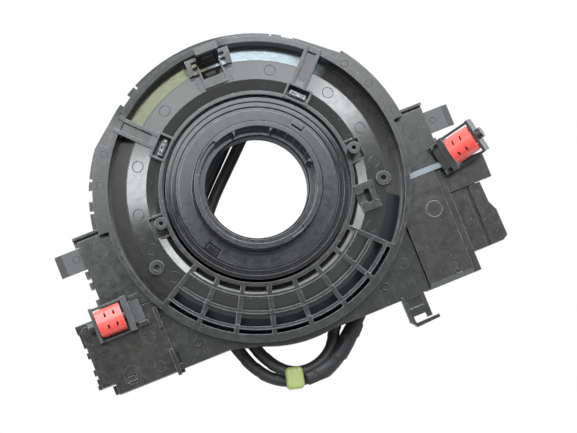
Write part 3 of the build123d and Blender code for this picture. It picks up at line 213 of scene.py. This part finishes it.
def flatter(tree, normal, zone, target):
    """The shading normal turned towards another direction inside a zone."""
    parts = add_node(tree, "ShaderNodeMix", data_type="VECTOR")
    tree.links.new(zone, parts.inputs["Factor"])
    for name, source in (("A", normal), ("B", target)):
        socket = [entry for entry in parts.inputs if entry.name == name and entry.type == "VECTOR"][0]
        tree.links.new(source, socket)
    unit = add_node(tree, "ShaderNodeVectorMath", operation="NORMALIZE")
    tree.links.new([out for out in parts.outputs if out.type == "VECTOR"][0], unit.inputs[0])
    return unit.outputs["Vector"]


def between(tree, value, low, high, soft):
    """1 where a value lies between two limits, fading to 0 beyond them."""
    rise = remap(tree, value, low - soft, low, 0, 1)
    return times(tree, rise, remap(tree, value, high, high + soft, 1, 0))


def inverse(tree, value):
    """1 where a grey value is 0, and 0 where it is 1."""
    return minus(tree, 1.0, value)


# Bands of the dish by distance from the axis in millimetres, and its sectors by angle in degrees
CREST_BAND = (39.7, 44.1)
PALE_STRIP_BAND = (39.8, 41.9)
TROUGH_BAND = (52.25, 59.2)
# The rim band and the three sectors below mark where reflections are painted: a dimmed rim, and blue and
# green reflections on the trough
PAINTED_DIM_RIM_BAND = (59.4, 68.0)
RIBBED_SECTOR = (-149, -24)
PAINTED_DIM_RIM_SECTOR = (84, 128)
PAINTED_BLUE_REFLECTION_SECTOR = (44, 86)
PAINTED_GREEN_REFLECTION_SECTOR = (92, 130)
SLOPING_Z = (0.45, 0.93)
TAB_X = 75.0


def housing_zones(tree, coords, base, gloss, normal):
    """Matt side tabs, a lighter bluish trough between the ribs that is a painted reflection, a rim whose
    reflection is dimmed by painted shade in one sector, and trough bands whose window reflection is partly
    painted in blue and green.

    The real dish's two sloping bands are shallower than the solid's, so they are shaded as flatter faces.
    """
    x, y, z, radius = axis_values(tree, coords)
    tabs = remap(tree, math_node(tree, "ABSOLUTE", x), TAB_X - 0.1, TAB_X + 0.3, 0, 1)
    gloss = plus(tree, gloss, times(tree, tabs, 0.18))
    base = mix_colors(tree, times(tree, tabs, 0.8), base, (0.030, 0.031, 0.031))
    facing = add_node(tree, "ShaderNodeSeparateXYZ")
    tree.links.new(normal, facing.inputs["Vector"])
    sloping = between(tree, facing.outputs["Z"], *SLOPING_Z, 0.03)
    around = times(tree, math_node(tree, "ARCTAN2", y, x), 180 / math.pi)
    trough = times(tree, sloping, between(tree, radius, *TROUGH_BAND, 0.1))
    crest = times(tree, sloping, between(tree, radius, *CREST_BAND, 0.1))
    ribbed = between(tree, around, *RIBBED_SECTOR, 1)
    # Painted reflection: the trough between the ribs is given a lighter bluish colour than the plastic
    base = mix_colors(tree, times(tree, trough, ribbed), base, (0.034, 0.039, 0.044))
    trough = times(tree, trough, inverse(tree, ribbed))

    # Shading normals: the trough's is nearly level and leans inwards on the right, the crest's is raised
    lean = math_node(tree, "DIVIDE", remap(tree, x, 30, 44, -0.010, -0.075, soft=True), 55)
    level = add_node(tree, "ShaderNodeCombineXYZ", Z=1.0)
    tree.links.new(times(tree, x, lean), level.inputs["X"])
    tree.links.new(times(tree, y, lean), level.inputs["Y"])
    raised = add_node(tree, "ShaderNodeVectorMath", operation="ADD")
    raised.inputs[1].default_value = (0, 0, 1.5)
    tree.links.new(normal, raised.inputs[0])
    normal = flatter(tree, normal, trough, level.outputs["Vector"])
    normal = flatter(tree, normal, crest, raised.outputs["Vector"])

    # Painted reflection and shade through the specular tint: the trough's reflection dimmed, the rim's
    # dimmed in one sector, and the trough's boosted in a blue and a green sector
    painted_dim_rim = times(tree, between(tree, radius, *PAINTED_DIM_RIM_BAND, 0.2), between(tree, around, *PAINTED_DIM_RIM_SECTOR, 6))
    trough = times(tree, trough, remap(tree, z, -1.6, -1.2, 1, 0))
    painted_blue_reflection = times(tree, trough, between(tree, around, *PAINTED_BLUE_REFLECTION_SECTOR, 6))
    painted_green_reflection = times(tree, trough, between(tree, around, *PAINTED_GREEN_REFLECTION_SECTOR, 6))
    tint = mix_colors(tree, trough, (1.0, 1.0, 1.0), (0.50, 0.51, 0.48))
    tint = mix_colors(tree, painted_dim_rim, tint, (0.45, 0.46, 0.46))
    tint = mix_colors(tree, painted_blue_reflection, tint, (3.0, 3.6, 3.9))
    tint = mix_colors(tree, painted_green_reflection, tint, (1.7, 1.8, 1.25))
    tree.links.new(tint, tree.nodes["Principled BSDF"].inputs["Specular Tint"])
    return base, gloss, normal


def tray_zones(tree, coords, base, gloss, normal):
    """Pale strip along the inner edge of the tray, and silvery hooks in the two windows."""
    x, y, z, radius = axis_values(tree, coords)
    strip = times(tree, between(tree, radius, *PALE_STRIP_BAND, 0.3), remap(tree, y, -18, -16, 1, 0))
    hooks = times(tree, remap(tree, y, 20, 22, 0, 1), remap(tree, z, -4.6, -4.4, 0, 1))
    base = mix_colors(tree, strip, base, (0.42, 0.43, 0.32))
    flecks = remap(tree, noise(tree, coords, 0.8, 4.0, 0.7), 0.40, 0.62, 0.02, 0.30)
    silver = add_node(tree, "ShaderNodeCombineXYZ")
    for axis in "XYZ":
        tree.links.new(flecks, silver.inputs[axis])
    return mix_colors(tree, hooks, base, silver.outputs["Vector"]), gloss, normal


housing = moulded(
    "housing_plastic", (0.0100, 0.0103, 0.0095), 0.15, grain=0.05, dust=0.25, edge_wear_and_highlight=0.6,
    edge_wear_and_highlight_color=(0.26, 0.27, 0.28), zones=housing_zones,
)
tray_plastic = moulded("tray_plastic", (0.009, 0.0095, 0.011), 0.20, dust=0.5, zones=tray_zones)
case_plastic = moulded(
    "case_plastic", (0.0110, 0.0110, 0.0092), 0.15, grain=0.06, dust=0.30, edge_wear_and_highlight=0.7, edge_wear_and_highlight_color=(0.28, 0.29, 0.29)
)
rotor_plastic = moulded("rotor_plastic", (0.0025, 0.0028, 0.0036), 0.05, grain=0.01, edge_wear_and_highlight=0.6)
rotor_plastic.node_tree.nodes["Principled BSDF"].inputs["Specular IOR Level"].default_value = 0.52
cam_plastic = moulded(
    "cam_plastic", (0.0105, 0.0110, 0.0122), 0.14, grain=0.05, edge_wear_and_highlight=0.7, edge_wear_and_highlight_color=(0.25, 0.27, 0.30)
)
latch_plastic = moulded("latch_plastic", (0.0120, 0.0120, 0.0120), 0.34, edge_wear_and_highlight=0.8)
# A lighter bluish copy of the housing plastic for the plate's bevel: a painted reflection
bevel_painted_reflection = moulded("bevel_painted_reflection", (0.040, 0.058, 0.072), 0.20, grain=0.05)
mark_plastic = moulded("mark_plastic", (0.0085, 0.0088, 0.0085), 0.20, grain=0.05, edge_wear_and_highlight=0.12)
red = moulded("clip_red", (0.56, 0.060, 0.048), 0.30, spread=0.06, edge_wear_and_highlight=0.25, edge_wear_and_highlight_color=(0.85, 0.35, 0.30))
tape = moulded("tape", (0.0100, 0.0100, 0.0108), 0.50, grain=0.5, edge_wear_and_highlight=0.3)
tie_mat = moulded("tie_green", (0.25, 0.30, 0.10), 0.30, spread=0.06, edge_wear_and_highlight=0.3, edge_wear_and_highlight_color=(0.40, 0.45, 0.20))
flat_mat = moulded("flat_cable", (0.40, 0.31, 0.16), 0.35)
pins_mat = moulded("pin_metal", (0.72, 0.62, 0.38), 0.30)
pins_mat.node_tree.nodes["Principled BSDF"].inputs["Metallic"].default_value = 1.0
socket_mat = moulded("socket_yellow", (0.45, 0.32, 0.04), 0.42)
plug_mat = moulded("plug_orange", (0.45, 0.17, 0.02), 0.42)
grey_plug = moulded("plug_grey", (0.10, 0.10, 0.105), 0.45)

SLOT_LOOKS = {
    "housing": housing,
    "rotor": rotor_plastic,
    "latch": latch_plastic,
    "clip": red,
    "flat_cable": flat_mat,
    "pins": pins_mat,
    "socket": socket_mat,
    "lead": tape,
    "plug": plug_mat,
    "grey_plug": grey_plug,
    "tie": tie_mat,
}
LOOKS = {entry["node"]: SLOT_LOOKS[entry["material_slot"]] for entry in frame["record"]["subparts"]}
LOOKS["left_switch_case"] = case_plastic
LOOKS["right_switch_case"] = case_plastic
LOOKS["cable_case"] = tray_plastic
LOOKS["cancel_cam"] = cam_plastic
for name, obj in frame["nodes"].items():
    obj.data.materials.clear()
    obj.data.materials.append(LOOKS[name])

# Floor: pale, and plain white where the camera sees it directly
FLOOR = 3.0
mesh = bpy.data.meshes.new("floor")
corners = ((-FLOOR, -FLOOR), (FLOOR, -FLOOR), (FLOOR, FLOOR), (-FLOOR, FLOOR))
mesh.from_pydata([(x, y, TABLE_Z * MM) for x, y in corners], [], [(0, 1, 2, 3)])
floor = bpy.data.objects.new("floor", mesh)
bpy.context.scene.collection.objects.link(floor)
floor_mat = bpy.data.materials.new("floor_white")
floor_mat.use_nodes = True
tree = floor_mat.node_tree
paths = add_node(tree, "ShaderNodeLightPath")
lit = add_node(tree, "ShaderNodeEmission", Color=(1, 1, 1, 1), Strength=1.0)
choose = add_node(tree, "ShaderNodeMixShader")
tree.nodes["Principled BSDF"].inputs["Base Color"].default_value = (0.6, 0.6, 0.6, 1)
tree.nodes["Principled BSDF"].inputs["Roughness"].default_value = 0.9
tree.links.new(paths.outputs["Is Camera Ray"], choose.inputs["Fac"])
tree.links.new(tree.nodes["Principled BSDF"].outputs["BSDF"], choose.inputs[1])
tree.links.new(lit.outputs["Emission"], choose.inputs[2])
tree.links.new(choose.outputs["Shader"], tree.nodes["Material Output"].inputs["Surface"])
floor.data.materials.append(floor_mat)

# Soft studio light, as seen from the part. The tilt runs from straight up towards the top of the picture,
# and the side towards its right, both in degrees.
IMAGE_RIGHT = Vector((IMAGE_UP.y, -IMAGE_UP.x, 0))
world = bpy.data.worlds.new("studio")
bpy.context.scene.world = world
world.use_nodes = True
tree = world.node_tree
direction = add_node(tree, "ShaderNodeTexCoord")


def along(axis):
    """How far the direction points along an axis."""
    node = add_node(tree, "ShaderNodeVectorMath", operation="DOT_PRODUCT")
    node.inputs[1].default_value = axis
    tree.links.new(direction.outputs["Generated"], node.inputs[0])
    return node.outputs["Value"]


tilt = math_node(tree, "ARCTAN2", along(IMAGE_UP), along((0, 0, 1)))
tilt = times(tree, tilt, 180 / math.pi)
side = times(tree, math_node(tree, "ARCSINE", along(IMAGE_RIGHT)), 180 / math.pi)


def lamp(tilt_at, side_at, radius, soft, strength):
    """A round soft light in the sky."""
    off_tilt = minus(tree, tilt, tilt_at)
    off_side = minus(tree, side, side_at)
    squares = plus(tree, times(tree, off_tilt, off_tilt), times(tree, off_side, off_side))
    return remap(tree, math_node(tree, "SQRT", squares), radius, radius + soft, strength, 0, soft=True)


# A pale sky with a dip overhead, a large window whose lower edge is slanted, and two lamps
PANEL_STRENGTH = 6.4
PANEL_SLANT = 0.33
PANEL_EDGE = (6.4, 8.6)
LAMPS = ((10, -33, 5, 7.5, 13.0), (30.5, 21.5, 5.5, 5.5, 12.0))
depth = remap(tree, side, -5, 6, -0.50, -0.12, soft=True)
dip = times(tree, remap(tree, tilt, -12, 2, 0, 1, soft=True), depth)
sky = plus(tree, remap(tree, tilt, -75, -25, 0.2, 1.0, soft=True), dip)
slanted = minus(tree, tilt, times(tree, side, PANEL_SLANT))
off_middle = math_node(tree, "ABSOLUTE", plus(tree, side, 2))
panel = remap(tree, slanted, *PANEL_EDGE, 0, PANEL_STRENGTH, soft=True)
panel = times(tree, panel, remap(tree, tilt, 98, 125, 1, 0, soft=True))
panel = times(tree, panel, remap(tree, off_middle, 23, 38, 1, 0.10, soft=True))
sky = plus(tree, sky, panel)
for lamp_values in LAMPS:
    sky = plus(tree, sky, lamp(*lamp_values))
rightwards = remap(tree, side, -22, 18, 0, 1, soft=True)
low_tint = mix_colors(tree, rightwards, (0.80, 1.04, 1.15), (0.72, 1.0, 1.28))
tint = mix_colors(tree, remap(tree, tilt, 45, 75, 0, 1, soft=True), (0.98, 1.0, 1.02), low_tint)
tree.links.new(tint, tree.nodes["Background"].inputs["Color"])
tree.links.new(sky, tree.nodes["Background"].inputs["Strength"])

bpy.context.scene.view_settings.view_transform = "Standard"


def piece(name, bm, material, body):
    """A finished mesh that rides on a body and takes a material."""
    bmesh.ops.recalc_face_normals(bm, faces=bm.faces)
    mesh = bpy.data.meshes.new(name)
    bm.to_mesh(mesh)
    bm.free()
    mesh.materials.append(material)
    obj = bpy.data.objects.new(name, mesh)
    bpy.context.scene.collection.objects.link(obj)
    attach(obj, body)
    return obj


def polar(radius, angle, z):
    """A point in metres from a distance, an angle in degrees and a height in millimetres."""
    return Vector((radius * math.cos(math.radians(angle)), radius * math.sin(math.radians(angle)), z)) * MM


def join_rings(bm, rings):
    """Faces between each ring of points and the next."""
    for first, second in zip(rings, rings[1:]):
        for spot in range(len(first)):
            after = (spot + 1) % len(first)
            bm.faces.new((first[spot], first[after], second[after], second[spot]))


def close_ends(bm, rings):
    """A face over the first ring of points and one over the last."""
    bm.faces.new(rings[0])
    bm.faces.new(list(reversed(rings[-1])))


def round_points(radius, rise, segments):
    """Points in millimetres round the Z axis."""
    angles = (2 * math.pi * step / segments for step in range(segments))
    return [Vector((radius * math.cos(angle), radius * math.sin(angle), rise)) for angle in angles]


def add_ring(bm, centre, normal, inner, outer, height, sunk=0.3, segments=28):
    """A raised circle with rounded edges."""
    turn = UP.rotation_difference(normal.normalized()).to_matrix()
    flank = height * 0.6
    round_off = 0.12
    profile = (
        (outer, -sunk), (outer, flank), (outer - round_off, height),
        (inner + round_off, height), (inner, flank), (inner, -sunk),
    )
    rings = [
        [bm.verts.new(centre + turn @ point * MM) for point in round_points(radius, rise, segments)]
        for radius, rise in profile
    ]
    join_rings(bm, rings + rings[:1])


def add_arc(bm, profile, start, end, step=2.0):
    """A profile of radius and height pairs turned from one angle to another, with closed ends."""
    count = max(2, round((end - start) / step))
    angles = [start + (end - start) * part / count for part in range(count + 1)]
    rows = [[bm.verts.new(polar(radius, angle, z)) for radius, z in profile] for angle in angles]
    join_rings(bm, rows)
    close_ends(bm, rows)


def add_stud(bm, centre, radius, height, segments=16):
    """A low round stud with a rounded edge."""
    profile = ((radius, -0.4), (radius, height * 0.5), (radius * 0.8, height))
    rings = [
        [bm.verts.new(centre + point * MM) for point in round_points(distance, rise, segments)]
        for distance, rise in profile
    ]
    join_rings(bm, rings)
    close_ends(bm, rings)


# Round marks of the ejector pins on the sloping ring, the blocks, shoulders, tabs and apron
RING_SLOPE = math.radians(15.7)
MARK_CIRCLE = 48.4
BLOCK_TOP = -4.0
TAB_TOP = -6.0
SHOULDER_TOP = 2.0
BOX_TOP = -3.0
marks = bmesh.new()
for angle in (9, 32, 62, 118, 148, 171, 188.6, 205.5, 320, 351.5):
    lean = polar(math.sin(RING_SLOPE), angle, math.cos(RING_SLOPE))
    add_ring(marks, polar(MARK_CIRCLE, angle, 0.04), lean, 2.05, 2.4, 0.10)
for x, y, z, radius in (
    (-67.8, 0.5, BLOCK_TOP, 3.8), (67.5, 0.2, BLOCK_TOP, 3.4), (43.9, -49.6, BLOCK_TOP, 2.3),
    (-77.4, 0.7, TAB_TOP, 1.5), (77.6, 0.4, TAB_TOP, 1.3),
    (-61.2, 11.1, SHOULDER_TOP, 1.6), (-57.7, 24.0, SHOULDER_TOP, 1.6), (-51.7, 35.0, SHOULDER_TOP, 1.6),
    (61.0, 10.6, SHOULDER_TOP, 1.6), (57.5, 23.0, SHOULDER_TOP, 1.6), (51.5, 34.0, SHOULDER_TOP, 1.6),
):
    add_ring(marks, Vector((x, y, z)) * MM, UP, radius - 0.3, radius, 0.08)
for x, y in ((-44.9, -48.4), (33.5, -55.7)):
    add_ring(marks, Vector((x, y, BLOCK_TOP)) * MM, UP, 1.1, 1.8, 0.5)
piece("ejector_marks", marks, mark_plastic, "stator")
box_marks = bmesh.new()
for x, y, radius in ((-61.7, -39.4, 2.3), (-61.7, -51.6, 2.3), (-73.3, -50.6, 3.8)):
    add_ring(box_marks, Vector((x, y, BOX_TOP)) * MM, UP, radius - 0.3, radius, 0.08)
piece("left_box_marks", box_marks, mark_plastic, "stator")

# Narrow edges along the ribbed sector's arcs, studs on its crossings, and steps in the tray between the ribs
RIB_FIRST, RIB_LAST, RIB_TOP = 210.0, 315.0, 2.0
RIB_TURN = 15.0
TRAY_TOP = -4.7


def box_profile(inner, outer, low, high):
    """Four corners of an arc's section, as distances from the axis and heights."""
    return ((inner, low), (inner, high), (outer, high), (outer, low))


lips = bmesh.new()
for radius in (43.75, 50.55, 56.75):
    add_arc(lips, box_profile(radius - 0.45, radius, RIB_TOP - 0.5, RIB_TOP + 0.3), RIB_FIRST, RIB_LAST)
for rib in range(1, 7):
    radius = 49.8 if rib % 2 else 56.0
    add_stud(lips, polar(radius, RIB_FIRST + RIB_TURN * rib, RIB_TOP), 1.25, 0.45)
piece("rib_edges", lips, housing, "stator")
steps = bmesh.new()
TRAY_STEPS = ((39.55, 41.9, -4.2), (43.9, 46.3, -1.9), (46.2, 48.95, -1.2), (50.7, 50.95, -2.6))
for inner, outer, top in TRAY_STEPS:
    add_arc(steps, box_profile(inner, outer, TRAY_TOP, top), RIB_FIRST + 1, RIB_LAST - 1)
piece("tray_steps", steps, tray_plastic, "stator")

# Ledges that close the gaps between the apron and the two switch boxes
LEDGE_BOXES = (
    ((-55.8, -57.0, -13.5), (-53.2, -26.5, -12.3)),
    ((69.8, -31.5, -13.5), (85.0, -28.0, -12.3)),
    ((57.6, -18.6, -9.5), (74.0, -14.6, -8.3)),
)
ledges = bmesh.new()
for low, high in LEDGE_BOXES:
    for vertex in bmesh.ops.create_cube(ledges, size=MM)["verts"]:
        vertex.co = Vector([(a + b) / 2 * MM + half * (b - a) for a, b, half in zip(low, high, vertex.co)])
bmesh.ops.bevel(
    ledges, geom=ledges.edges[:], offset=0.2 * MM, segments=1, profile=0.5, affect="EDGES", material=-1
)
piece("gap_ledges", ledges, tray_plastic, "stator")

# Bevelled upper edge of the right plate, with a lighter bluish colour that is a painted reflection
BEVEL_X = (57.9, 73.4)
BEVEL_SECTION = ((-16.78, -1.52), (-19.3, -1.08), (-19.3, -1.8))
strip = bmesh.new()
ends = [[strip.verts.new(Vector((x, y, z)) * MM) for y, z in BEVEL_SECTION] for x in BEVEL_X]
join_rings(strip, ends)
close_ends(strip, ends)
piece("plate_bevel", strip, bevel_painted_reflection, "stator")


# The two leads: one NURBS spline each, through the route's points
TOWER = Vector((14.3, 38.0, TABLE_Z + 6.0))
TOWER_ANGLE = math.radians(43.7)
LEAD_R = 2.3
LEAD_Z = TABLE_Z + LEAD_R + 0.1
BOX_GAP = 0.02 * MM


def from_tower(x, y):
    """A point given from the middle of the upper tower, at the height where the leads come out."""
    c, s = math.cos(TOWER_ANGLE), math.sin(TOWER_ANGLE)
    return (TOWER.x + x * c - y * s, TOWER.y + x * s + y * c, TOWER.z)


AIRBAG_ROUTE = [
    from_tower(-7.6, 2.6),
    from_tower(-13.0, 2.6),
    (-5.6, 22.6, LEAD_Z),
    (-21.8, 6.9, LEAD_Z),
    (-31.5, -5.5, LEAD_Z),
    (-36.8, -20.0, LEAD_Z),
    (-36.5, -36.0, LEAD_Z),
    (-31.6, -49.0, LEAD_Z),
    (-29.0, -60.0, LEAD_Z),
    (-24.2, -70.0, LEAD_Z),
    (-15.2, -77.2, LEAD_Z),
    (-3.0, -78.8, LEAD_Z),
    (8.6, -74.8, LEAD_Z),
    (17.8, -67.2, LEAD_Z),
    (25.4, -59.4, LEAD_Z),
    (34.0, -53.8, LEAD_Z),
]
SWITCH_ROUTE = [
    from_tower(-7.6, -2.6),
    from_tower(-13.0, -2.6),
    (-2.2, 18.9, LEAD_Z),
    (-17.8, 4.4, LEAD_Z),
    (-26.2, -7.5, LEAD_Z),
    (-31.0, -21.0, LEAD_Z),
    (-30.6, -35.6, LEAD_Z),
    (-25.6, -48.6, LEAD_Z),
    (-22.6, -59.6, LEAD_Z),
    (-18.6, -68.2, LEAD_Z + 1.4),
    (-11.4, -74.2, LEAD_Z + 3.4),
    (-2.2, -74.8, LEAD_Z + 3.2),
    (6.2, -70.6, LEAD_Z + 2.0),
    (11.2, -62.6, LEAD_Z),
    (16.4, -55.0, LEAD_Z),
    (22.6, -49.8, LEAD_Z),
]


def lead_curve(name, route, radius):
    """A NURBS curve through a route in millimetres. With no radius it is only the middle line."""
    curve = bpy.data.curves.new(name, "CURVE")
    curve.dimensions = "3D"
    spline = curve.splines.new("NURBS")
    spline.points.add(len(route) - 1)
    for point, place in zip(spline.points, route):
        point.co = (*(Vector(place) * MM), 1)
    spline.order_u = 3
    spline.use_endpoint_u = True
    spline.resolution_u = 12
    curve.bevel_depth = radius * MM
    curve.bevel_resolution = 5
    curve.use_fill_caps = radius > 0
    obj = bpy.data.objects.new(name, curve)
    bpy.context.scene.collection.objects.link(obj)
    return obj


def middle_line(route):
    """Evenly spaced points along the lead's middle line, one per millimetre."""
    obj = lead_curve("middle_line", route, 0)
    mesh = bpy.data.meshes.new_from_object(obj)
    points = [vertex.co.copy() for vertex in mesh.vertices]
    curve = obj.data
    bpy.data.objects.remove(obj)
    bpy.data.meshes.remove(mesh)
    bpy.data.curves.remove(curve)
    line = [points[0]]
    for point in points[1:]:
        while (point - line[-1]).length > 1.0 * MM:
            line.append(line[-1] + (point - line[-1]).normalized() * 1.0 * MM)
    return line


def wrap_tube(bm, line, radius, pitch, overlap, segments=20, squash=None, phase=0.0):
    """Tape wound round a line: each turn starts as a step and slopes down to the next one.

    The tape is kept above the low y and z limits of the box of the CAD model.
    """
    rings = []
    count = len(line)
    for spot, point in enumerate(line):
        ahead = (line[min(spot + 1, count - 1)] - line[max(spot - 1, 0)]).normalized()
        across = ahead.cross(UP).normalized()
        over = across.cross(ahead)
        ring = []
        for step in range(segments):
            angle = 2 * math.pi * step / segments
            turn = (spot / pitch + step / segments + phase) % 1.0
            end_share = min(1.0, spot / 2.0, (count - 1 - spot) / 2.0)
            swell = (radius + (overlap * (1 - turn) + 0.05) * (0.4 + 0.6 * end_share)) * MM
            wide, high = squash(spot / (count - 1)) if squash else (1.0, 1.0)
            place = point + across * math.cos(angle) * swell * wide + over * math.sin(angle) * swell * high
            place.y = max(place.y, cad_box[0][1] + BOX_GAP)
            place.z = max(place.z, cad_box[0][2] + BOX_GAP)
            ring.append(bm.verts.new(place))
        rings.append(ring)
    join_rings(bm, rings)
    close_ends(bm, rings)


airbag_line = middle_line(AIRBAG_ROUTE)
switch_line = middle_line(SWITCH_ROUTE)
wraps = bmesh.new()
before_tie = [point for point in airbag_line if point.y / MM < -44 and point.x / MM < -17]
wrap_tube(wraps, before_tie, LEAD_R, 9.0, 0.30)
airbag_wraps = piece("airbag_lead_wraps", wraps, tape, "rotor")
wraps = bmesh.new()
before_tie = [point for point in switch_line if point.y / MM < -44 and point.x / MM < -15.5]
wrap_tube(wraps, before_tie, LEAD_R, 8.0, 0.26)
after_bundle = [point for point in switch_line if -70 < point.y / MM < -45 and point.x / MM > 6.5]
wrap_tube(wraps, after_bundle, LEAD_R, 8.0, 0.26)
switch_wraps = piece("switch_lead_wraps", wraps, tape, "rotor")


def bundle_shape(share):
    """The bundle is wide and flat beside the tie and rounder further on."""
    ease = min(1.0, share * 1.6)
    return 1.28 - 0.28 * ease, 1.0


bundle = bmesh.new()
aside = Vector((-0.1, 0.9, 1.6)) * MM
bundle_line = [point + aside for point in airbag_line if -8.5 < point.x / MM < 21 and point.y / MM < -60]
wrap_tube(bundle, bundle_line, 3.3, 10.0, 0.45, squash=bundle_shape, phase=0.3)
bundle_wraps = piece("bundle_wraps", bundle, tape, "rotor")


def make_lead(name, route, node):
    """The smooth core of a lead."""
    obj = lead_curve(name, route, LEAD_R)
    obj.data.materials.append(tape)
    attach(obj, "rotor")
    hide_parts(node)


make_lead("airbag_lead_core", AIRBAG_ROUTE, "airbag_lead")
make_lead("switch_lead_core", SWITCH_ROUTE, "switch_lead")
